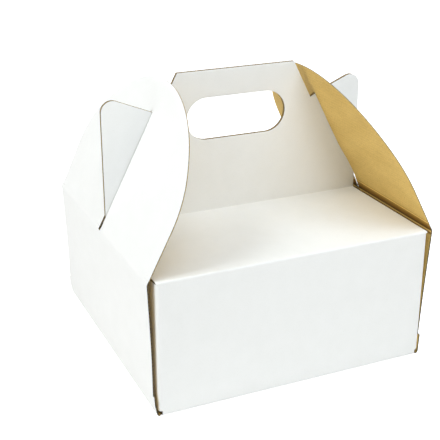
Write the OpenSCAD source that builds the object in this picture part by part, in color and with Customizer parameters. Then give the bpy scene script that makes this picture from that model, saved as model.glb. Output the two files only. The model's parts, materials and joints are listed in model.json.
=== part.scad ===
// Cake box: one folded sheet of thin corrugated board with a standing double handle,
// and two round side flaps whose slots sit over the ends (the ears) of the handle.
// Millimetres. X runs across the front, Y from front to back, Z up.
// The origin is the centre of the base, on the surface that the box stands on.
// Everything is worked out for the right and front side and mirrored to the others.

/* [Board] */
// Thickness of the corrugated board
board = 1.6; // [1.2:0.1:2.4]
// Outside radius of a folded edge
fold_r = 3; // [2.8:0.1:4]
// Gap between the two handle panels where they stand back to back
handle_gap = 0.2; // [0.1:0.1:1]

/* [Box] */
// Outside width of the base, from side wall to side wall
box_w = 254; // [220:1:320]
// Outside depth, from front wall to back wall
box_d = 250; // [230:1:320]
// Height of the outside of the top panels above the table
wall_h = 121.2; // [95:0.2:150]
// How far the crease of a side flap lies below the outside of the top panels
crease_drop = 2.3; // [1.8:0.1:6]
// Outward lean of the side walls, in degrees
side_lean = 2.3; // [1.5:0.1:4]
// How far the upright edges of a side wall stand behind the front and back faces
side_setback = 3.7; // [3.2:0.1:10]
// Height of the foot of a side wall, which is wider than the wall above it
foot_h = 19; // [8:0.5:40]
// How far the foot reaches beyond the upright edges of the side wall
foot_step = 2.6; // [0.5:0.1:3]

/* [Corner flaps] */
// Gap between a corner flap and the foot of the side wall outside it
nest_gap = 0.1; // [0.1:0.1:1]
// Length of a corner flap, back from the front fold
corner_len = 74; // [40:1:100]
// Height at which the corner flaps and their fold begin
corner_relief = 5; // [4:0.5:12]
// Gap between the top of a corner flap and the top panel over it
corner_gap = 0.5; // [0.3:0.1:3]
// Drop of the corner flap's top edge over its length
corner_taper = 9; // [0:1:20]

/* [Handle] */
// Height of the handle above the top panels
handle_h = 129.7; // [122:0.5:150]
// Radius of the outer corner of an ear
ear_corner_r = 9; // [3:0.5:16]
// Gap between a side flap and the slanted shoulder of the handle beside it
shoulder_gap = 5; // [1:0.5:10]
// Length of the hand hole
hole_w = 96; // [70:1:100]
// Height of the hand hole
hole_h = 38; // [22:1:44]
// Height of the hand hole's centre above the top panels
hole_up = 86.4; // [60:0.2:100]

/* [Side flaps] */
// Inward lean of the side flaps at rest, in degrees from upright
flap_lean = 27.2; // [20:0.2:34]
// Height of a flap from its crease to the middle of its crown, along the board
flap_h = 143; // [135:0.5:160]
// Height of the straight sides of a flap, along the board
flap_side_h = 46; // [20:1:55]
// Radius of a flap's round shoulders
flap_shoulder_r = 70; // [50:1:80]
// Length of the slot, from the crease
slot_len = 116; // [100:0.5:120]
// Gap between the slot's end and the top edge of an ear
slot_end_gap = 0.7; // [0.5:0.1:2]
// Gap on each side of the handle in the slot
slot_side_gap = 0.4; // [0.3:0.1:1.5]

/* [Hidden] */
$fn = 64;
arc_steps = 24;
over = 1;

// Folds and walls
inner_r = fold_r - board;
front_half_w = box_w / 2 - board - nest_gap;
flat_half_w = front_half_w - fold_r;
fold_y = box_d / 2 - fold_r;
crease_z = wall_h - crease_drop;
side_len = (crease_z - fold_r + fold_r * sin(side_lean)) / cos(side_lean);
side_fold_x = box_w / 2 - fold_r;
hinge_x = side_fold_x + fold_r * cos(side_lean) + side_len * sin(side_lean);
side_half_d = box_d / 2 - side_setback;
// How deep a flat panel is rooted in its fold, in degrees of the fold, and how far a fold's end
// laps into the flat panel beside it
root_angle = 12;
lap = 1.5;

// Mitre between side wall and flap, which meet face to face when the flap is at rest
bend = flap_lean + side_lean;
mitre_len = board / cos(bend / 2);
mitre_down = (flap_lean - side_lean) / 2;

// Handle
handle_top_z = wall_h + handle_h;
handle_foot_z = wall_h + inner_r;
handle_fold_y = handle_gap / 2 + board + inner_r;
ear_r = slot_len - slot_end_gap;
ear_corner_x = front_half_w - ear_corner_r;
ear_corner_z = crease_z + sqrt(pow(ear_r - ear_corner_r, 2) - pow(hinge_x - ear_corner_x, 2));
ear_start = atan2(ear_corner_z - crease_z, ear_corner_x - hinge_x);
shoulder_off = board + shoulder_gap;
ear_end = 90 + flap_lean + asin(shoulder_off / ear_r);
shoulder_rise = (handle_top_z - crease_z + shoulder_off * sin(flap_lean)) / cos(flap_lean);
handle_top_half_w = hinge_x - shoulder_rise * sin(flap_lean) - shoulder_off * cos(flap_lean);

// Flap outline: upright sides, round shoulders and one crown arc tangent to both
slot_w = 2 * board + handle_gap + 2 * slot_side_gap;
shoulder_y = side_half_d - flap_shoulder_r;
crown_rise = flap_h - flap_side_h;
crown_r = (pow(shoulder_y, 2) + pow(crown_rise, 2) - pow(flap_shoulder_r, 2))
  / (2 * (crown_rise - flap_shoulder_r));
crown_v = flap_h - crown_r;
shoulder_end = atan2(flap_side_h - crown_v, shoulder_y);

// Points of an arc about [cx, cy], from angle a0 to angle a1
function arc_points(cx, cy, r, a0, a1) =
  [for (i = [0:arc_steps]) let (a = a0 + (a1 - a0) * i / arc_steps) [cx + r * cos(a), cy + r * sin(a)]];

// The same points mirrored left to right, in reverse order
function mirrored(points) = [for (i = [len(points) - 1:-1:0]) [-points[i][0], points[i][1]]];

// Part of a ring, the section of a rounded fold, from angle a0 to angle a1
module fold_section(r_in, r_out, a0, a1) {
  reach = 2 * r_out;
  mid = (a0 + a1) / 2;
  intersection() {
    difference() {
      circle(r_out);
      circle(r_in);
    }
    polygon([
      [0, 0],
      reach * [cos(a0), sin(a0)],
      reach * [cos(mid), sin(mid)],
      reach * [cos(a1), sin(a1)]
    ]);
  }
}

// Pushes a section drawn in X and Z along Y, centred
module along_y(length) {
  rotate([90, 0, 0]) linear_extrude(length, center = true) children();
}

// Pushes a section drawn in Y and Z along X, centred
module along_x(length) {
  rotate([90, 0, 90]) linear_extrude(length, center = true) children();
}

module both_sides() {
  children();
  mirror([1, 0, 0]) children();
}

module front_and_back() {
  children();
  mirror([0, 1, 0]) children();
}

// A point in the middle of a fold's thickness, at an angle about the fold's centre
function in_fold(centre, angle) = centre + (inner_r + board / 2) * [cos(angle), sin(angle)];

// Section of the right side wall with its fold from the base, in X and Z. Wall and base are rooted in
// the middle of the fold's thickness, so that all three are one sheet at any lean.
module side_wall_section() {
  fold = [side_fold_x, fold_r];
  outward = [cos(side_lean), -sin(side_lean)];
  top = [hinge_x, crease_z];
  translate(fold) fold_section(inner_r, fold_r, -90, -side_lean);
  polygon([
    in_fold(fold, -side_lean - root_angle),
    fold + fold_r * outward,
    top,
    top - mitre_len * [cos(mitre_down), sin(mitre_down)],
    fold + inner_r * outward
  ]);
  polygon([
    in_fold(fold, -90 + root_angle),
    [side_fold_x, board],
    [side_fold_x - lap, board],
    [side_fold_x - lap, 0],
    [side_fold_x, 0]
  ]);
}

// Outline of a side wall seen from the side, in Y and Z, with the wide foot
module side_wall_outline() {
  translate([-side_half_d, 0]) square([2 * side_half_d, wall_h]);
  translate([-side_half_d - foot_step, 0]) square([2 * (side_half_d + foot_step), foot_h]);
}

module side_wall() {
  intersection() {
    along_y(box_d) side_wall_section();
    along_x(2 * box_w) side_wall_outline();
  }
}

// Section of the front wall with its fold from the base, in Y and Z, rooted in the folds at both ends
module front_wall_section() {
  fold = [-fold_y, fold_r];
  top_fold = [-fold_y, wall_h - fold_r];
  translate(fold) fold_section(inner_r, fold_r, 180, 270);
  polygon([
    in_fold(fold, 270 - root_angle),
    [-fold_y, board],
    [-fold_y + lap, board],
    [-fold_y + lap, 0],
    [-fold_y, 0]
  ]);
  polygon([
    fold - [fold_r, 0],
    top_fold - [fold_r, 0],
    in_fold(top_fold, 180 - root_angle),
    top_fold - [inner_r, 0],
    fold - [inner_r, 0]
  ]);
}

// Section of the front top panel, from the fold at the front to the fold up into the handle
module top_panel_section() {
  translate([-fold_y, wall_h - fold_r]) fold_section(inner_r, fold_r, 90, 180);
  translate([-fold_y, wall_h - board]) square([fold_y - handle_fold_y, board]);
  translate([-handle_fold_y, handle_foot_z]) fold_section(inner_r, fold_r, 270, 360);
  translate([inner_r - handle_fold_y, handle_foot_z]) square([board, lap]);
}

// Section of the upright fold between the front wall and the right corner flap, in X and Y
module corner_fold_section() {
  translate([flat_half_w, -fold_y]) fold_section(inner_r, fold_r, 270, 360);
  translate([flat_half_w - lap, -box_d / 2]) square([lap, board]);
  translate([front_half_w - board, -fold_y]) square([board, lap]);
}

// Right front corner flap with the upright fold that joins it to the front wall
module corner_flap() {
  fold_top = wall_h - fold_r;
  flap_top = wall_h - board - corner_gap;
  translate([0, 0, corner_relief]) linear_extrude(fold_top - corner_relief) corner_fold_section();
  translate([front_half_w - board / 2, 0, 0]) along_x(board) polygon([
    [-fold_y, corner_relief],
    [-fold_y + corner_len, corner_relief + corner_taper],
    [-fold_y + corner_len, flap_top - corner_taper],
    [-fold_y, flap_top]
  ]);
}

// Outline of a handle panel above its fold, in X and Z, with ears and slanted shoulders
module handle_outline() {
  right_half = concat(
    [[front_half_w, handle_foot_z]],
    arc_points(ear_corner_x, ear_corner_z, ear_corner_r, 0, ear_start),
    arc_points(hinge_x, crease_z, ear_r, ear_start, ear_end),
    [[handle_top_half_w, handle_top_z]]
  );
  polygon(concat(right_half, mirrored(right_half)));
}

module hand_hole() {
  end_x = (hole_w - hole_h) / 2;
  translate([0, wall_h + hole_up]) {
    square([2 * end_x, hole_h], center = true);
    for (side = [-1, 1]) translate([side * end_x, 0]) circle(d = hole_h);
  }
}

module handle_panel() {
  translate([0, -(handle_gap + board) / 2, 0]) along_y(board) difference() {
    handle_outline();
    hand_hole();
  }
}

// Half of the sheet in front of the handle
module front_half() {
  along_x(2 * flat_half_w) front_wall_section();
  along_x(2 * front_half_w) top_panel_section();
  both_sides() corner_flap();
  handle_panel();
}

module base() {
  translate([-side_fold_x, -side_half_d, 0]) cube([2 * side_fold_x, 2 * side_half_d, board]);
  translate([-flat_half_w, -fold_y, 0]) cube([2 * flat_half_w, 2 * fold_y, board]);
}

module carton() {
  color("whitesmoke") {
    base();
    both_sides() side_wall();
    front_and_back() front_half();
  }
}

// Outline of a flap laid flat, crease at the bottom, with the slot open at the crease
module flap_outline() {
  right_half = concat(
    [[side_half_d, 0]],
    arc_points(shoulder_y, flap_side_h, flap_shoulder_r, 0, shoulder_end),
    arc_points(0, crown_v, crown_r, shoulder_end, 90)
  );
  difference() {
    polygon(concat(right_half, mirrored(right_half)));
    translate([-slot_w / 2, -over]) square([slot_w, slot_len + over]);
  }
}

// Section of an upright flap in X and Z, its outer face at x = 0 and its foot cut to the mitre
module flap_section() {
  polygon([
    [0, 0],
    [0, flap_h],
    [-board, flap_h],
    [-board, board * tan(bend / 2)]
  ]);
}

module side_flap() {
  translate([hinge_x, 0, crease_z]) rotate([0, -flap_lean, 0]) intersection() {
    translate([-board / 2, 0, 0]) along_x(board) flap_outline();
    along_y(box_d) flap_section();
  }
}

module right_flap() {
  color("burlywood") side_flap();
}

module left_flap() {
  color("white") mirror([1, 0, 0]) side_flap();
}

carton();
left_flap();
right_flap();
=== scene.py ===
"""Looks of the folding cake box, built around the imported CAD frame.

The box is modelled as what it is: one die-cut sheet of corrugated board, folded up. Each layer of the
board (white outer liner, brown fluted medium, brown inner liner) is cut flat from the sheet's outline and
then folded, so that every cut edge shows the three layers. Metres, in the frame's own axes.
"""

import json
from math import asin, atan2, cos, pi, radians, sin, sqrt, tan

import bpy
import numpy as np
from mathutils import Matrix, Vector
from mathutils.geometry import delaunay_2d_cdt


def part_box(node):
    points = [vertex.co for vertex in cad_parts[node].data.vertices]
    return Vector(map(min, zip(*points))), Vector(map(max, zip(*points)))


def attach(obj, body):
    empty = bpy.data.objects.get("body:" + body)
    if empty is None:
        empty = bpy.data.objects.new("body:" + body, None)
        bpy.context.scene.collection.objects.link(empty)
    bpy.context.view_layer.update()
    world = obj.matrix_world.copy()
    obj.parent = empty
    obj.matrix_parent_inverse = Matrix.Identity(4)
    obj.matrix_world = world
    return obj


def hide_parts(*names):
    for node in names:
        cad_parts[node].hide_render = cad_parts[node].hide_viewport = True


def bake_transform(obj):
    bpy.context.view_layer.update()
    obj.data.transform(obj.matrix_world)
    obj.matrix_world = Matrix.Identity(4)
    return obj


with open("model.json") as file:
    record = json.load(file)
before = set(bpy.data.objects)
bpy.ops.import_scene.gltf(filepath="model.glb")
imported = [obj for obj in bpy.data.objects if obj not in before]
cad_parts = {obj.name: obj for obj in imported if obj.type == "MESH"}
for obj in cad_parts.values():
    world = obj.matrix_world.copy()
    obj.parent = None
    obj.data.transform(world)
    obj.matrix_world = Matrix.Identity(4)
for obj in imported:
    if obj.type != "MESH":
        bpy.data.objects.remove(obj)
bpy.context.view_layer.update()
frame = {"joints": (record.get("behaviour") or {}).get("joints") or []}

MM = 0.001

# Tolerances, in metres
same_place = 1e-9
near_enough = 1e-6

# Board and folds; the folds at the tops of the front and back walls are sharper than the rest
board = 1.6 * MM
fold_r = 3.0 * MM
inner_r = fold_r - board
top_fold_r = 1.8 * MM
liner = 0.26 * MM
medium = 0.18 * MM
flute_pitch = 3.4 * MM
steps_per_flute = 6

# Sizes of the folded box that come from the frame, and how far its creases lie below the walls' tops
carton_low, carton_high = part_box("carton")
hinge = next(joint for joint in frame["joints"] if joint["name"] == "right_flap_crease")
hinge_x = hinge["pos_m"][0]
crease_z = hinge["pos_m"][2]
box_d = carton_high.y - carton_low.y
handle_top_z = carton_high.z
crease_drop = 2.3 * MM
wall_h = crease_z + crease_drop

# Sizes of the sheet
side_lean = radians(2.3)
flap_lean = radians(27.2)
side_fold_x = 124 * MM
fold_y = box_d / 2 - fold_r
side_inset = 3.7 * MM
side_half_d = box_d / 2 - side_inset
foot_h = 19 * MM
foot_step = 2.6 * MM
front_half_w = 125.3 * MM
flat_half_w = front_half_w - fold_r
corner_len = 74 * MM
corner_relief = 5 * MM
corner_taper = 9 * MM
corner_gap = 0.5 * MM
corner_notch = 0.4 * MM
corner_root = 0.2 * MM
corner_top_step = 2 * MM
base_step_x = 0.8 * MM
base_step_y = 0.4 * MM
handle_gap = 0.2 * MM
handle_fold_y = handle_gap / 2 + fold_r
handle_foot_z = wall_h + inner_r

# Side flaps; the right slot is narrow up to the end of its mouth, and full from mouth_taper_end on
flap_h = 143 * MM
flap_side_h = 46 * MM
flap_shoulder_r = 70 * MM
slot_len = 113.6 * MM
slot_clearance = 0.4 * MM
slot_half_w = board + handle_gap / 2 + slot_clearance
mouth_half_widths = {"left": slot_half_w, "right": 1.3 * MM}
mouth_end = 9 * MM
mouth_taper_end = 14 * MM

# Handle outline
ear_corner_r = 10 * MM
ear_top_z = 233.1 * MM
ear_clearance = 0.7 * MM
ear_r = slot_len - ear_clearance
shoulder_clearance = 5 * MM
shoulder_off = board + shoulder_clearance
hole_w = 96 * MM
hole_h = 38 * MM
hole_rise = 86.4 * MM
hole_z = wall_h + hole_rise

# Crease between a side wall and its flap
crease_r = 2.4 * MM
crease_half_w = 3.2 * MM
crease_bend = side_lean + flap_lean
score_depth = 0.14 * MM
score_reach = 1.6 * MM
bead_h = 0.35 * MM
bead_reach = 0.9 * MM
groove_h = 0.45 * MM
groove_off = 1.6 * MM
groove_reach = 1.1 * MM

# Wrinkles of the inner liner over the flutes at the foot of each flap; their start is a share of the
# crease strip's half width
wrinkle_h = 0.65 * MM
wrinkle_start = 0.6
wrinkle_fade = 11 * MM
wrinkle_end = 22 * MM

# The medium sinks a little way into the liners. Under a crease it is pressed flat, nearer the white face
flute_overlap = 0.05 * MM
flute_press_margin = 0.8 * MM
flute_press_lift = 0.1 * MM

# How far the panels bow out of true, and over what lengths
front_wall_bow = 0.5 * MM
top_panel_bow = -0.9 * MM
handle_score_bow = -0.35 * MM
handle_score_margin = 0.2 * MM
left_foot_bow = 1.5 * MM
left_shoulder_bow = 2.2 * MM
left_shoulder_start = 15 * MM
right_wall_bow = -1.0 * MM
right_wall_front_bow = 0.5 * MM
crease_bow = 1.7 * MM
crease_bow_fade = 90 * MM
flap_foot_bow = 1.4 * MM
flap_foot_reach = 50 * MM

# Where the die has pressed the board thinner, along its cut edges
crush_w = 1.6 * MM
crush_rings = (0.5 * MM, 1.1 * MM, crush_w)
carton_crush = 0.32
flap_crush = 0.55

# Where a mix node keeps its factor, its two colours and its result
mix_colour_inputs = (0, 6, 7)
mix_colour_output = 2

# Light and floor
floor_half = 2.2
floor_glow = 0.7
world_glow = 0.2
lamp_target = Vector((0, 0, 0.12))

# Distances between points of the flat sheets, and steps across a fold
panel_step = 9 * MM
flute_row_step = 30 * MM
fold_steps = 7
flute_fold_steps = 5
crease_steps = 24
steps_per_wrinkle = 8
closest_points = 0.05 * MM
grid_margin = 0.2 * MM
ring_share = 0.85
sharp_angle = radians(40)


def folded_path(start, heading, parts):
    """A line in a plane as (starts, points, headings, turn per length); parts are (length, left turn)."""
    starts, points, headings, curvatures = [0.0], [start], [heading], []
    for length, turn in parts:
        curvatures.append(turn / length)
        middle = headings[-1] + turn / 2
        chord = length * (sin(turn / 2) / (turn / 2) if turn else 1.0)
        x, y = points[-1]
        points.append((x + chord * cos(middle), y + chord * sin(middle)))
        headings.append(headings[-1] + turn)
        starts.append(starts[-1] + length)
    return np.array(starts), np.array(points), np.array(headings), np.array(curvatures)


def along(path, distance):
    """Points of a path at these distances, and the unit vectors that point out of its right side."""
    starts, points, headings, curvatures = path
    part = np.clip(np.searchsorted(starts, distance, side="right") - 1, 0, len(curvatures) - 1)
    step = distance - starts[part]
    turn = step * curvatures[part]
    chord = step * np.sinc(turn / (2 * pi))
    middle = headings[part] + turn / 2
    end = headings[part] + turn
    first = points[part, 0] + chord * np.cos(middle)
    second = points[part, 1] + chord * np.sin(middle)
    return first, second, np.sin(end), -np.cos(end)


# The white face of the sheet from the base's front fold to the top of the handle, in distance from the
# middle of the box and height
fold_arc = fold_r * pi / 2
front_parts = [
    (fold_arc, pi / 2),
    (wall_h - fold_r - top_fold_r, 0),
    (top_fold_r * pi / 2, pi / 2),
    (box_d / 2 - top_fold_r - handle_fold_y, 0),
    (inner_r * pi / 2, -pi / 2),
    (handle_top_z - handle_foot_z, 0),
]
front_path = folded_path((fold_y, 0), 0, front_parts)
row_wall, row_top_fold, row_top, row_handle_fold, row_handle, row_end = fold_y + front_path[0][1:]

# The same from the base's side fold to the crown of a side flap
side_arc_turn = pi / 2 - side_lean
side_arc = fold_r * side_arc_turn
side_len = (crease_z - fold_r + fold_r * sin(side_lean)) / cos(side_lean)
crease_tangent = crease_r * tan(crease_bend / 2)
crease_arc = crease_r * crease_bend
side_parts = [
    (side_arc, side_arc_turn),
    (side_len - crease_tangent, 0),
    (crease_arc, crease_bend),
    (flap_h, 0),
]
side_path = folded_path((side_fold_x, 0), 0, side_parts)
col_wall = side_fold_x + side_path[0][1]
col_crease = side_fold_x + side_path[0][2] + crease_arc / 2
col_foot = col_wall + (foot_h - fold_r + fold_r * sin(side_lean)) / cos(side_lean)

# And round the upright fold between the front wall and a corner flap
corner_path = folded_path((flat_half_w, box_d / 2), 0, [(fold_arc, -pi / 2), (corner_len, 0)])
col_corner = flat_half_w + fold_arc


def row_of(z):
    """Row of the flat sheet for a height on the front wall."""
    return row_wall + z - fold_r


def hump(value, start, end):
    """0 up to start and from end on, and a smooth rise to 1 between them."""
    return np.sin(pi * np.clip((value - start) / (end - start), 0, 1))


def ease(share):
    """A smooth step from 0 to 1."""
    share = np.clip(share, 0, 1)
    return share**2 * (3 - 2 * share)


def front_bow(x, row):
    """How far the front and back panels bow out of true, along the white face's normal."""
    across = np.clip(1 - (x / front_half_w) ** 2, 0, 1)
    wall = front_wall_bow * hump(row, row_wall, row_top_fold)
    top = top_panel_bow * hump(row, row_top, row_handle_fold)
    score_start, score_end = row_handle_fold + handle_score_margin, row_handle - handle_score_margin
    return across * (wall + top) + handle_score_bow * hump(row, score_start, score_end) ** 4


def left_bow(col, y):
    """The left wall bulges at its foot, and the back shoulder of its flap springs out."""
    height = np.clip((col - col_wall) / (foot_h - fold_r), 0, None)
    foot = left_foot_bow * height * np.exp(1 - height) * (col < col_crease)
    shoulder = left_shoulder_bow * hump(col, col_crease + left_shoulder_start, col_crease + flap_h)
    return foot * hump(col, 2 * col_wall - col_crease, col_crease) + shoulder * ease(y / side_half_d)


def right_bow(col, y):
    """The right wall is slightly hollow, and its crease stands out from its middle to its front edge."""
    middle = np.clip(1 - (y / side_half_d) ** 2, 0, 1)
    standing_out = np.where(y > 0, middle, 1.0)
    hollow = right_wall_bow + right_wall_front_bow * ease(-y / side_half_d)
    wall = hollow * hump(col, col_wall, col_crease)
    crease = crease_bow * standing_out * np.clip((col - col_wall) / (col_crease - col_wall), 0, 1)
    settle = 1 - ease((col - col_crease) / crease_bow_fade)
    foot = flap_foot_bow * middle * hump(col, col_crease, col_crease + flap_foot_reach)
    return wall + crease * settle + foot


def side_bow(x, y):
    """How far the side walls and flaps bow out of true, along the white face's normal."""
    col = np.abs(x)
    return np.where(x < 0, left_bow(col, y), right_bow(col, y))


def folded(x, y, depth):
    """Where points of the flat sheet lie in the folded box. depth is how far below the white face."""
    place = np.stack([x, y, depth], axis=1)
    ahead, right = np.where(y < 0, -1.0, 1.0), np.where(x < 0, -1.0, 1.0)
    row, col = np.abs(y), np.abs(x)
    beside_wall = (row < row_top_fold) | (col > col_corner - same_place)
    corner = (col > flat_half_w) & (row > row_wall) & beside_wall
    side = (col > side_fold_x) & (row < side_half_d + foot_step + near_enough)
    front = (row > fold_y) & ~corner & ~side

    out, up, out_n, up_n = along(front_path, row[front] - fold_y)
    below = depth[front] - front_bow(x[front], row[front])
    place[front, 1] = ahead[front] * (out - below * out_n)
    place[front, 2] = up - below * up_n

    out, up, out_n, up_n = along(side_path, col[side] - side_fold_x)
    below = depth[side] - side_bow(x[side], y[side])
    place[side, 0] = right[side] * (out - below * out_n)
    place[side, 2] = up - below * up_n

    # The corner path turns right, so its outer side is on the left
    across, back, across_n, back_n = along(corner_path, col[corner] - flat_half_w)
    place[corner, 0] = right[corner] * (across + depth[corner] * across_n)
    place[corner, 1] = ahead[corner] * (back + depth[corner] * back_n)
    place[corner, 2] = row[corner] - row_wall + fold_r
    return place


def arc(cx, cy, r, start, end, steps):
    """Points of an arc, ends included."""
    angles = np.linspace(start, end, steps + 1)
    return [(cx + r * cos(a), cy + r * sin(a)) for a in angles]


def ear_and_shoulder():
    """Right half of the handle's outline above its fold, as (x, row), from the foot up to the top."""
    corner_x, corner_z = front_half_w - ear_corner_r, ear_top_z - ear_corner_r
    slot_turn = pi / 2 + flap_lean
    over_x = corner_x - hinge_x - ear_r * cos(slot_turn)
    over_z = corner_z - crease_z - ear_r * sin(slot_turn)
    slope = atan2(over_z, over_x) + asin(ear_corner_r / sqrt(over_x**2 + over_z**2))
    shoulder_turn = slot_turn + asin(shoulder_off / ear_r)
    rise = (handle_top_z - crease_z + shoulder_off * sin(flap_lean)) / cos(flap_lean)
    top_half_w = hinge_x - rise * sin(flap_lean) - shoulder_off * cos(flap_lean)
    points = [(front_half_w, handle_foot_z)]
    points += arc(corner_x, corner_z, ear_corner_r, 0, slope + pi / 2, 14)
    points += arc(hinge_x, crease_z, ear_r, slot_turn, shoulder_turn, 4)
    points.append((top_half_w, handle_top_z))
    return [(x, row_handle + z - handle_foot_z) for x, z in points]


def carton_outline():
    """Outline of the flat sheet without its side flaps."""
    foot_end = side_half_d + foot_step
    flap_top = wall_h - board - corner_gap
    quarter = [
        (col_crease - crease_half_w, side_half_d),
        (col_foot, side_half_d),
        (col_foot, foot_end),
        (side_fold_x - base_step_x, foot_end),
        (side_fold_x - base_step_x, fold_y - base_step_y),
        (flat_half_w, fold_y),
        (flat_half_w, row_of(corner_relief)),
        (col_corner, row_of(corner_relief)),
        (col_corner + corner_len, row_of(corner_relief + corner_taper)),
        (col_corner + corner_len, row_of(flap_top - corner_taper)),
        (col_corner + corner_top_step, row_of(flap_top)),
        (col_corner + corner_root, row_top_fold - corner_notch),
        (front_half_w, row_top_fold),
    ] + ear_and_shoulder()
    return around(quarter)


def around(quarter):
    """A closed outline from its first quarter, mirrored front to back and left to right."""
    back = [(-x, y) for x, y in reversed(quarter)]
    half = quarter + back
    return half + [(-x, -y) for x, y in half]


def hand_holes():
    """The hand hole in the back handle panel and the one in the front panel."""
    row = row_handle + hole_z - handle_foot_z
    r = hole_h / 2
    end_x = hole_w / 2 - r
    hole = arc(end_x, row, r, -pi / 2, pi / 2, 28) + arc(-end_x, row, r, pi / 2, 3 * pi / 2, 28)
    return [hole, [(x, -y) for x, y in hole]]


def flap_outline(mouth_half_w):
    """Outline of a side flap on the right of the flat sheet, above its crease strip, with its slot."""
    shoulder_y = side_half_d - flap_shoulder_r
    rise = flap_h - flap_side_h
    crown_r = (shoulder_y**2 + rise**2 - flap_shoulder_r**2) / (2 * (rise - flap_shoulder_r))
    crown_v = flap_h - crown_r
    shoulder_end = atan2(flap_side_h - crown_v, shoulder_y)
    half = [(side_half_d, crease_half_w)]
    half += arc(shoulder_y, flap_side_h, flap_shoulder_r, 0, shoulder_end, 40)
    half += arc(0, crown_v, crown_r, shoulder_end, pi / 2, 24)[1:]
    half = [(col_crease + v, y) for y, v in half]
    slot = [
        (col_crease + crease_half_w, mouth_half_w),
        (col_crease + mouth_end, mouth_half_w),
        (col_crease + mouth_taper_end, slot_half_w),
        (col_crease + slot_len, slot_half_w),
    ]
    back_half = [(x, -y) for x, y in reversed(half[:-1])]
    return half + back_half + [(x, -y) for x, y in slot] + slot[::-1]


def crease_outline(mouth_half_w):
    """Outline of the strip of sheet across the right crease, with the mouth of the slot."""
    low, high = col_crease - crease_half_w, col_crease + crease_half_w
    half = [(low, side_half_d), (high, side_half_d), (high, mouth_half_w), (col_crease, mouth_half_w)]
    return half + [(x, -y) for x, y in reversed(half)]


def left_of(outline):
    """The same outline on the left of the sheet."""
    return [(-x, y) for x, y in reversed(outline)]


def edges_of(outline):
    """The edges of a closed outline, as pairs of points."""
    return zip(outline, outline[1:] + outline[:1])


def split_at(outline, cols, rows):
    """Adds a point to a closed outline wherever it crosses one of the columns or rows."""
    least_length, least_share = 1e-7, 1e-4
    points = []
    for (x0, y0), (x1, y1) in edges_of(outline):
        shares = [0.0]
        for lines, low, high in ((cols, x0, x1), (rows, y0, y1)):
            if abs(high - low) > least_length:
                crossing = (lines - low) / (high - low)
                shares += list(crossing[(crossing > least_share) & (crossing < 1 - least_share)])
        reach = sqrt((x1 - x0) ** 2 + (y1 - y0) ** 2)
        last = None
        for share in sorted(shares):
            if last is None or (share - last) * reach > closest_points:
                points.append((x0 + share * (x1 - x0), y0 + share * (y1 - y0)))
                last = share
    return points


def inside(points, outlines):
    """Which points lie inside the outlines, counting crossings of a ray to the right."""
    x, y = points[:, 0], points[:, 1]
    within = np.zeros(len(points), bool)
    for outline in outlines:
        for (x0, y0), (x1, y1) in edges_of(outline):
            if y0 != y1:
                crosses = (y0 > y) != (y1 > y)
                within ^= crosses & (x < x0 + (y - y0) * (x1 - x0) / (y1 - y0))
    return within


def is_seam(x0, x1):
    """Whether an outline's edge only parts two pieces of the sheet beside a crease, with no cut there."""
    off_crease = abs(abs(x0) - col_crease)
    return abs(x0 - x1) < same_place and abs(off_crease - crease_half_w) < near_enough


def edge_distance(points, outlines):
    """How far each point lies from the nearest cut edge."""
    far_away = 1.0
    nearest = np.full(len(points), far_away)
    for outline in outlines:
        for (x0, y0), (x1, y1) in edges_of(outline):
            if not is_seam(x0, x1):
                edge = np.array([x1 - x0, y1 - y0])
                offset = points - (x0, y0)
                share = np.clip(offset @ edge / (edge @ edge), 0, 1)
                nearest = np.minimum(nearest, np.linalg.norm(offset - share[:, None] * edge, axis=1))
    return nearest


def rings_inside(outline, outlines):
    """Points a little way in from an outline, where the pressed edge of the board begins."""
    points = np.array(outline)
    tangent = np.roll(points, -1, axis=0) - np.roll(points, 1, axis=0)
    normal = np.stack([tangent[:, 1], -tangent[:, 0]], axis=1)
    normal /= np.linalg.norm(normal, axis=1)[:, None]
    rings = np.concatenate([points + side * gap * normal for gap in crush_rings for side in (-1, 1)])
    gaps = np.repeat(crush_rings, 2 * len(points))
    within = inside(rings, outlines)
    rings, gaps = rings[within], gaps[within]
    # Points that lie nearer to another edge are left out
    return rings[edge_distance(rings, outlines) > ring_share * gaps]


def sheet_points(outlines, cols, rows):
    """Points for a flat sheet, those on its outlines first, and the outlines' edges as pairs of points."""
    points, edges, rings = [], [], []
    for outline in outlines:
        split = split_at(outline, cols, rows)
        first, count = len(points), len(split)
        points += split
        edges += [(first + i, first + (i + 1) % count) for i in range(count)]
        rings.append(rings_inside(split, outlines))
    grid = np.stack(np.meshgrid(cols, rows), axis=-1).reshape(-1, 2)
    grid = grid[inside(grid, outlines)]
    grid = grid[edge_distance(grid, outlines) > crush_w + grid_margin]
    return np.concatenate([points, *rings, grid]), edges


def counter_clockwise(flat, triangles):
    """The triangles, with those that run clockwise turned over."""
    a, b, c = (flat[triangles[:, k]] for k in range(3))
    area = (b[:, 0] - a[:, 0]) * (c[:, 1] - a[:, 1]) - (b[:, 1] - a[:, 1]) * (c[:, 0] - a[:, 0])
    return np.where(area[:, None] < 0, triangles[:, ::-1], triangles)


def border_of(triangles, count):
    """The directed edges that belong to one triangle only."""
    sides = np.concatenate([triangles[:, [0, 1]], triangles[:, [1, 2]], triangles[:, [2, 0]]])
    there, back = sides[:, 0] * count + sides[:, 1], sides[:, 1] * count + sides[:, 0]
    return sides[~np.isin(there, back)]


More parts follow.
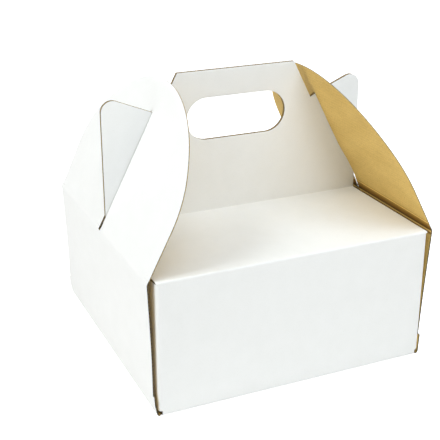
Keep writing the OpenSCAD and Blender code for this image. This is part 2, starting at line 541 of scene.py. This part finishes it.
def cut(outlines, cols, rows):
    """Cuts a flat sheet: its points, their distance from a cut edge, counter-clockwise triangles and the
    directed edges of its border."""
    points, edges = sheet_points(outlines, cols, rows)
    found, _, faces, *_ = delaunay_2d_cdt([Vector(p) for p in points], edges, [], 1, same_place)
    flat = np.array([tuple(p) for p in found])
    triangles = np.array(faces)
    triangles = triangles[inside(flat[triangles].mean(axis=1), outlines)]
    triangles = counter_clockwise(flat, triangles)
    return flat, edge_distance(flat, outlines), triangles, border_of(triangles, len(flat))


def closed_faces(triangles, border, count):
    """Faces of a closed layer, and their materials. The first count of its points are the outer ones."""
    start, end = border[:, 0], border[:, 1]
    rim = np.concatenate([
        np.stack([start, end, end + count], axis=1),
        np.stack([start, end + count, start + count], axis=1),
    ])
    faces = np.concatenate([triangles[:, ::-1], triangles + count, rim])
    return faces, np.repeat([0, 1, 2], [len(triangles), len(triangles), len(rim)])


def layer(name, sheet, depth, thickness, crush, materials):
    """One layer of the board, folded up, as a closed thin piece. depth gives the depth of its middle on the
    flat sheet. materials are for its outer side, its inner side and its rim."""
    flat, edge_gap, triangles, border = sheet
    x, y = flat[:, 0], flat[:, 1]
    pressed = crush * ease(1 - edge_gap / crush_w)
    middle = board / 2 + (depth(x) - board / 2) * (1 - pressed)
    outer, inner = (folded(x, y, middle + side * thickness / 2) for side in (-1, 1))
    faces, kinds = closed_faces(triangles, border, len(flat))
    mesh = bpy.data.meshes.new(name)
    mesh.from_pydata(np.concatenate([outer, inner]), [], faces)
    mesh.polygons.foreach_set("material_index", kinds.astype(np.int32))
    mesh.polygons.foreach_set("use_smooth", np.ones(len(faces), bool))
    mesh.uv_layers.new(name="sheet").uv.foreach_set("vector", flat[faces.ravel() % len(flat)].ravel())
    for material in materials:
        mesh.materials.append(material)
    mesh.set_sharp_from_angle(angle=sharp_angle)
    piece = bpy.data.objects.new(name, mesh)
    bpy.context.scene.collection.objects.link(piece)
    return piece


def spaced(start, end, step):
    """Evenly spaced values from start to end, both included."""
    return list(np.linspace(start, end, max(2, round((end - start) / step) + 1)))


def mirrored(values):
    """The values and their negatives, in order and each once."""
    return np.unique(np.round([-v for v in values] + list(values), 7))


def points_across(panels, folds, step, steps_per_fold):
    """Points step apart on each panel, and evenly spaced across each fold, on both sides of the middle."""
    values = []
    for start, end in panels:
        values += spaced(start, end, step)
    for start, end in folds:
        values += list(np.linspace(start, end, steps_per_fold + 1))
    return mirrored(values)


def sheet_rows(step, steps_per_fold):
    """Rows of points across the front and back folds and panels, and across the base."""
    panels = [(0, fold_y), (row_wall, row_top_fold), (row_top, row_handle_fold), (row_handle, row_end)]
    folds = [(fold_y, row_wall), (row_top_fold, row_top), (row_handle_fold, row_handle)]
    return points_across(panels, folds, step, steps_per_fold)


def sheet_cols():
    """Columns of points across the base, the side walls and flaps, and the side and corner folds."""
    panels = [(0, flat_half_w), (col_corner + MM, col_crease), (col_crease, col_crease + flap_h)]
    folds = [(flat_half_w, col_corner), (side_fold_x, col_wall)]
    return points_across(panels, folds, panel_step, fold_steps)


def crease_cols():
    """Close columns over each crease strip."""
    return mirrored(np.linspace(col_crease - crease_half_w, col_crease + crease_half_w, crease_steps + 1))


def wrinkle_cols():
    """Close columns over the foot of each flap, where the inner liner is wrinkled."""
    start, end = col_crease + crease_half_w, col_crease + wrinkle_end
    return mirrored(np.arange(start, end, flute_pitch / steps_per_wrinkle))


def flute_cols(cols):
    """Columns at the same phases of every flute, within the reach of these columns."""
    count = int((col_crease + flap_h) / flute_pitch) + 1
    steps = np.arange(-count * steps_per_flute, count * steps_per_flute + 1)
    flutes = steps * flute_pitch / steps_per_flute
    return flutes[(flutes > cols.min()) & (flutes < cols.max())]


def at_crease(x, reach):
    """1 on the crease of a side flap and 0 from reach away from it."""
    return ease(1 - np.abs(np.abs(x) - col_crease) / reach)


def outer_depth(x):
    """Middle of the white liner: level, with a soft score line on each crease."""
    return liner / 2 + score_depth * at_crease(x, score_reach)


def inner_depth(x):
    """Middle of the inner liner: a bead between two grooves on each crease, then wrinkles over flutes."""
    above = np.abs(x) - col_crease
    bead = bead_h * at_crease(x, bead_reach)
    grooves = groove_h * np.clip(1 - np.abs(np.abs(above) - groove_off) / groove_reach, 0, 1) ** 2
    wrinkle = (0.5 - 0.5 * np.cos(2 * pi * above / flute_pitch)) ** 3
    fading = np.exp(-above / wrinkle_fade) * ease(above / crease_half_w - wrinkle_start)
    return board - liner / 2 + bead - grooves - wrinkle_h * wrinkle * fading


def flute_depth(x):
    """Middle of the medium: a wave that fills the gap between the liners, pressed flat at a crease."""
    free = 1 - at_crease(x, crease_half_w + flute_press_margin)
    reach = (board / 2 - liner - medium / 2) * free + flute_overlap
    return board / 2 - flute_press_lift * (1 - free) + reach * np.sin(2 * pi * x / flute_pitch)


def feed(tree, socket, value):
    """Gives a shader socket another node's output, or a plain value."""
    if isinstance(value, bpy.types.NodeSocket):
        tree.links.new(value, socket)
    else:
        socket.default_value = value


def node(tree, kind, **inputs):
    """A shader node with its named inputs fed."""
    made = tree.nodes.new(kind)
    for name, value in inputs.items():
        feed(tree, made.inputs[name.replace("_", " ")], value)
    return made


def computed(tree, operation, *values):
    """The output of a math node fed with these values."""
    made = tree.nodes.new("ShaderNodeMath")
    made.operation = operation
    for socket, value in zip(made.inputs, values):
        feed(tree, socket, value)
    return made.outputs[0]


def sheet_position(tree, stretch):
    """The flat sheet's own coordinates, in metres, stretched to fit a texture."""
    sheet = tree.nodes.new("ShaderNodeUVMap")
    sheet.uv_map = "sheet"
    place = node(tree, "ShaderNodeMapping", Vector=sheet.outputs["UV"], Scale=stretch)
    return place.outputs["Vector"]


def noise(tree, stretch, scale, detail=4.0):
    """Noise over the flat sheet, from 0 to 1; scale is in features per metre."""
    place = sheet_position(tree, stretch)
    made = node(tree, "ShaderNodeTexNoise", Vector=place, Scale=scale, Detail=detail, Roughness=0.6)
    return made.outputs["Fac"]


def ramp(tree, factor, stops):
    """A colour ramp from (place, colour) pairs."""
    made = node(tree, "ShaderNodeValToRGB", Fac=factor)
    elements = made.color_ramp.elements
    for _ in range(len(stops) - len(elements)):
        elements.new(0.5)
    for element, (place, colour) in zip(elements, stops):
        element.position = place
        element.color = (*colour, 1.0)
    return made.outputs["Color"]


def blended(tree, factor, first, second, mode="MIX"):
    """Two colours mixed, or combined in another blend mode."""
    made = tree.nodes.new("ShaderNodeMix")
    made.data_type = "RGBA"
    made.blend_type = mode
    for place, value in zip(mix_colour_inputs, (factor, first, second)):
        feed(tree, made.inputs[place], value)
    return made.outputs[mix_colour_output]


def new_material(name, roughness, specular):
    """A material with its node tree and its shader."""
    material = bpy.data.materials.new(name)
    material.use_nodes = True
    shader = material.node_tree.nodes["Principled BSDF"]
    shader.inputs["Roughness"].default_value = roughness
    shader.inputs["Specular IOR Level"].default_value = specular
    return material, material.node_tree, shader


def add_bump(tree, shader, heights):
    """Chains one bump per (height, distance in metres, strength) and feeds the last to the shader."""
    normal = None
    for height, distance, strength in heights:
        bump = node(tree, "ShaderNodeBump", Height=height, Distance=distance, Strength=strength)
        if normal is not None:
            tree.links.new(normal, bump.inputs["Normal"])
        normal = bump.outputs["Normal"]
    tree.links.new(normal, shader.inputs["Normal"])


def flute_marks(tree):
    """The faint show-through of the flutes under a liner, one soft ridge per flute."""
    # A wave texture's ridges are pi / (10 * Scale) apart
    ridges = node(
        tree,
        "ShaderNodeTexWave",
        Vector=sheet_position(tree, (1, 1, 1)),
        Scale=pi / (10 * flute_pitch),
        Distortion=0.4,
        Detail_Scale=30.0,
    )
    ridges.wave_type = "BANDS"
    ridges.bands_direction = "X"
    ridges.wave_profile = "SIN"
    return ridges.outputs["Fac"]


def white_liner():
    """Uncoated white top liner: nearly even, with cloudy formation and sparse fibres."""
    material, tree, shader = new_material("white_liner", 0.62, 0.3)
    cloud = noise(tree, (1, 0.7, 1), 70.0)
    tone = ramp(tree, cloud, [(0.3, (0.848, 0.858, 0.85)), (0.7, (0.868, 0.877, 0.871))])
    fibre = noise(tree, (1, 0.25, 1), 2600.0, 2.0)
    specks = ramp(tree, fibre, [(0.25, (0.93, 0.92, 0.9)), (0.42, (1, 1, 1))])
    colour = blended(tree, 1.0, tone, specks, "MULTIPLY")
    tree.links.new(colour, shader.inputs["Base Color"])
    add_bump(tree, shader, [(fibre, 0.03 * MM, 0.25), (flute_marks(tree), 0.04 * MM, 0.12)])
    return material


def painted_crease_shade(tree):
    """Painted shade along each crease: a dark band above the bead stands in for the shadow in the gap over
    the top panel, with painted highlights on the bead and on a bend line, and painted shade on the wall
    side below the bead.
    """
    start, end = -4.0, 12.0
    position = node(tree, "ShaderNodeSeparateXYZ", Vector=sheet_position(tree, (1, 1, 1)))
    col = computed(tree, "ABSOLUTE", position.outputs["X"])
    low, high = col_crease + start * MM, col_crease + end * MM
    share = node(tree, "ShaderNodeMapRange", Value=col, From_Min=low, From_Max=high).outputs["Result"]
    # Millimetres above the crease, and the tone there: below 1 is painted shade, above 1 painted highlight
    tones = [
        (start, (1, 1, 1)),
        (-2.6, (0.3, 0.24, 0.16)),
        (-1.5, (0.3, 0.24, 0.16)),
        (-1.0, (1.1, 1.08, 1.05)),
        (0.2, (1.15, 1.12, 1.1)),
        (0.7, (0.22, 0.15, 0.08)),
        (4.5, (0.42, 0.31, 0.18)),
        (8.2, (0.62, 0.52, 0.36)),
        (8.7, (1.3, 1.25, 1.15)),
        (10.0, (1.2, 1.16, 1.1)),
        (10.5, (0.7, 0.64, 0.54)),
        (11.9, (0.95, 0.94, 0.92)),
    ]
    return ramp(tree, share, [((at - start) / (end - start), tone) for at, tone in tones])


def kraft_liner():
    """Brown inner liner: ochre, with darker fibres along the machine direction and faint flute lines, and
    painted shade and highlights along each crease.
    """
    material, tree, shader = new_material("kraft_liner", 0.72, 0.25)
    cloud = noise(tree, (1, 0.5, 1), 60.0)
    tone = ramp(tree, cloud, [(0.3, (0.73, 0.505, 0.15)), (0.7, (0.835, 0.6, 0.195))])
    fibre = noise(tree, (0.25, 1, 1), 1800.0, 3.0)
    specks = ramp(tree, fibre, [(0.3, (0.72, 0.66, 0.58)), (0.5, (1, 1, 1)), (0.75, (1.08, 1.06, 1.0))])
    colour = blended(tree, 1.0, tone, specks, "MULTIPLY")
    flute_tones = ramp(tree, flute_marks(tree), [(0.2, (0.4, 0.26, 0.1)), (0.9, (0.7, 0.5, 0.22))])
    lined = blended(tree, 0.10, colour, flute_tones)
    # Painted shade and highlights along each crease, over the liner's own colour
    with_painted_shade = blended(tree, 1.0, lined, painted_crease_shade(tree), "MULTIPLY")
    tree.links.new(with_painted_shade, shader.inputs["Base Color"])
    add_bump(tree, shader, [(fibre, 0.05 * MM, 0.4), (flute_marks(tree), 0.06 * MM, 0.25)])
    return material


def raw_edge(name, dark, pale):
    """Cut or uncovered fibre board, rough and uneven."""
    material, tree, shader = new_material(name, 0.85, 0.15)
    tone = ramp(tree, noise(tree, (1, 1, 1), 900.0, 3.0), [(0.3, dark), (0.7, pale)])
    tree.links.new(tone, shader.inputs["Base Color"])
    add_bump(tree, shader, [(noise(tree, (1, 1, 1), 2500.0, 2.0), 0.05 * MM, 0.6)])
    return material


def seen_directly(tree):
    """1 for rays from the camera, gloss or glass, and 0 for rays that only carry light."""
    rays = tree.nodes.new("ShaderNodeLightPath").outputs
    total = rays["Is Camera Ray"]
    for name in ("Is Glossy Ray", "Is Transmission Ray"):
        total = computed(tree, "MAXIMUM", total, rays[name])
    return total


def mixed_shader(tree, factor, first, second):
    """A mix of two shaders."""
    made = tree.nodes.new("ShaderNodeMixShader")
    for socket, value in zip(made.inputs, (factor, first, second)):
        feed(tree, socket, value)
    return made.outputs[0]


def floor_material():
    """White floor, nearly plain white to the camera, with the object's soft shadow, open from below."""
    material, tree, shader = new_material("floor_white", 0.9, 0.0)
    shader.inputs["Base Color"].default_value = (0.93, 0.93, 0.93, 1.0)
    strength = computed(tree, "MULTIPLY", floor_glow, seen_directly(tree))
    glow = node(tree, "ShaderNodeEmission", Strength=strength)
    brightened = tree.nodes.new("ShaderNodeAddShader")
    for socket, source in zip(brightened.inputs, (shader, glow)):
        feed(tree, socket, source.outputs[0])
    from_below = tree.nodes.new("ShaderNodeNewGeometry").outputs["Backfacing"]
    through = tree.nodes.new("ShaderNodeBsdfTransparent").outputs[0]
    surface = mixed_shader(tree, from_below, brightened.outputs[0], through)
    tree.links.new(surface, tree.nodes["Material Output"].inputs["Surface"])
    return material


def add_floor():
    """A floor with a gap under the middle of the box, so that the base can be seen from below."""
    gap_x, gap_y = side_fold_x - MM, fold_y - MM
    corners = [(-1, -1), (1, -1), (1, 1), (-1, 1)]
    outer = [(x * floor_half, y * floor_half, 0) for x, y in corners]
    inner = [(x * gap_x, y * gap_y, 0) for x, y in corners]
    mesh = bpy.data.meshes.new("floor")
    mesh.from_pydata(outer + inner, [], [(i, (i + 1) % 4, 4 + (i + 1) % 4, 4 + i) for i in range(4)])
    mesh.materials.append(floor_material())
    floor = bpy.data.objects.new("floor", mesh)
    bpy.context.scene.collection.objects.link(floor)


def add_world():
    """Soft light from all round, and plain white where the camera or a reflection looks past the floor."""
    world = bpy.data.worlds.new("studio")
    bpy.context.scene.world = world
    world.use_nodes = True
    tree = world.node_tree
    tree.nodes.clear()
    light = node(tree, "ShaderNodeBackground", Color=(0.975, 0.99, 1.0, 1.0), Strength=world_glow)
    shown = node(tree, "ShaderNodeBackground", Color=(1.0, 1.0, 1.0, 1.0), Strength=1.0)
    surface = mixed_shader(tree, seen_directly(tree), light.outputs[0], shown.outputs[0])
    output = tree.nodes.new("ShaderNodeOutputWorld")
    tree.links.new(surface, output.inputs["Surface"])


def add_lamp(name, place, size, watts, colour):
    """A square lamp that faces the middle of the box."""
    light = bpy.data.lights.new(name, "AREA")
    light.size = size
    light.energy = watts
    light.color = colour
    lamp = bpy.data.objects.new(name, light)
    lamp.location = place
    lamp.rotation_euler = (lamp_target - Vector(place)).to_track_quat("-Z", "Y").to_euler()
    bpy.context.scene.collection.objects.link(lamp)


def add_lamps():
    """Large soft lamps: the strongest are on the left and over the front, as in the photograph."""
    add_lamp("left", (-1.9, 0.0, 1.25), 1.0, 11.3, (1.0, 0.89, 0.78))
    add_lamp("left_high", (-1.3, -0.1, 1.7), 0.8, 16.4, (0.92, 0.98, 1.0))
    add_lamp("over_front", (0.25, -0.6, 1.8), 1.6, 22.0, (0.92, 0.97, 1.0))
    add_lamp("front_low", (0.3, -1.5, 0.25), 0.5, 4.2, (1.0, 0.97, 0.9))
    add_lamp("over_back", (0.0, 1.0, 1.8), 1.2, 2.0, (1.0, 1.0, 1.0))
    add_lamp("right", (1.8, 0.0, 0.9), 1.0, 1.2, (1.0, 0.95, 0.9))


def add_camera():
    """Camera at the place from which the photograph was taken, fitted to the box's edges."""
    turn, rise, distance = radians(-24.024), radians(22.334), 0.896066
    target = Vector((-0.015535, 0.0, 0.108591))
    focal_px, picture_px = 970.1256, 440
    away = Vector((sin(turn) * cos(rise), -cos(turn) * cos(rise), sin(rise)))
    data = bpy.data.cameras.new("camera")
    data.sensor_fit = "HORIZONTAL"
    data.sensor_width = 36.0
    data.lens = focal_px / picture_px * data.sensor_width
    data.clip_start, data.clip_end = 0.01, 50.0
    camera = bpy.data.objects.new("camera", data)
    camera.location = target + distance * away
    camera.rotation_euler = (-away).to_track_quat("-Z", "Y").to_euler()
    bpy.context.scene.collection.objects.link(camera)
    bpy.context.scene.camera = camera


def add_layers(part, outlines, cols, rows, flute_rows, crush, materials):
    """The three layers of one part of the sheet. Returns its outer liner, inner liner and flutes."""
    white, kraft, cut_white, cut_kraft, fluting = materials
    smooth = cut(outlines, cols, rows)
    waved = cut(outlines, flute_cols(cols), flute_rows)
    outer = layer(f"{part}_outer_liner", smooth, outer_depth, liner, crush, (white, kraft, cut_white))
    inner = layer(f"{part}_inner_liner", smooth, inner_depth, liner, crush, (kraft, kraft, cut_kraft))
    flutes = layer(f"{part}_flutes", waved, flute_depth, medium, crush, (fluting, fluting, fluting))
    return outer, inner, flutes


def add_carton(materials):
    """The whole sheet but for its side flaps and their creases."""
    outlines = [carton_outline(), *hand_holes()]
    rows = sheet_rows(panel_step, fold_steps)
    flute_rows = sheet_rows(flute_row_step, flute_fold_steps)
    pieces = add_layers("carton", outlines, sheet_cols(), rows, flute_rows, carton_crush, materials)
    for piece in pieces:
        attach(piece, "carton")
    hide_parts("carton")


def add_flap(side, turned, materials):
    """One side flap above its crease strip, which rides on its own body."""
    outlines = [turned(flap_outline(mouth_half_widths[side]))]
    cols = np.union1d(sheet_cols(), wrinkle_cols())
    rows, flute_rows = (mirrored(spaced(0, side_half_d, step)) for step in (panel_step, flute_row_step))
    pieces = add_layers(f"{side}_flap", outlines, cols, rows, flute_rows, flap_crush, materials)
    for piece in pieces:
        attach(piece, f"{side}_flap")
    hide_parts(f"{side}_flap")


def add_crease(side, turned, materials):
    """The unbroken liners and pressed medium across one crease."""
    outlines = [turned(crease_outline(mouth_half_widths[side]))]
    rows = mirrored(spaced(0, side_half_d, panel_step))
    pieces = add_layers(f"{side}_crease", outlines, crease_cols(), rows, rows, carton_crush, materials)
    direction = -1 if side == "left" else 1
    ends = direction * np.array([col_crease - crease_half_w, col_crease + crease_half_w])
    for piece, depth in zip(pieces, (0.0, board, board / 2)):
        start, end = folded(ends, np.full(2, side_half_d), np.full(2, depth))
        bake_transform(piece)


def add_box():
    """The box's fifteen pieces. The flaps' cut edges are paler than the rest, whose dark colour is painted
    shade.
    """
    # The white liner's cut edges everywhere, and the open cut edges of the carton and creases, are brown
    # board painted near-black: painted shade for the dark flutes and gaps behind them
    faces = (
        white_liner(),
        kraft_liner(),
        raw_edge("white_edge_painted_shade", (0.11, 0.1, 0.08), (0.2, 0.18, 0.14)),
    )
    edges_painted_shade = (
        raw_edge("liner_edge_painted_shade", (0.12, 0.095, 0.06), (0.2, 0.16, 0.1)),
        raw_edge("flutes_painted_shade", (0.08, 0.06, 0.035), (0.15, 0.11, 0.065)),
    )
    pressed_edges = (
        raw_edge("pressed_liner_edge", (0.5, 0.37, 0.18), (0.62, 0.47, 0.25)),
        raw_edge("pressed_flutes", (0.4, 0.28, 0.13), (0.52, 0.38, 0.19)),
    )
    add_carton(faces + edges_painted_shade)
    for side, turned in (("right", list), ("left", left_of)):
        add_flap(side, turned, faces + pressed_edges)
        add_crease(side, turned, faces + edges_painted_shade)


add_camera()
add_box()
add_floor()
add_world()
add_lamps()

bpy.context.scene.view_settings.view_transform = "Standard"
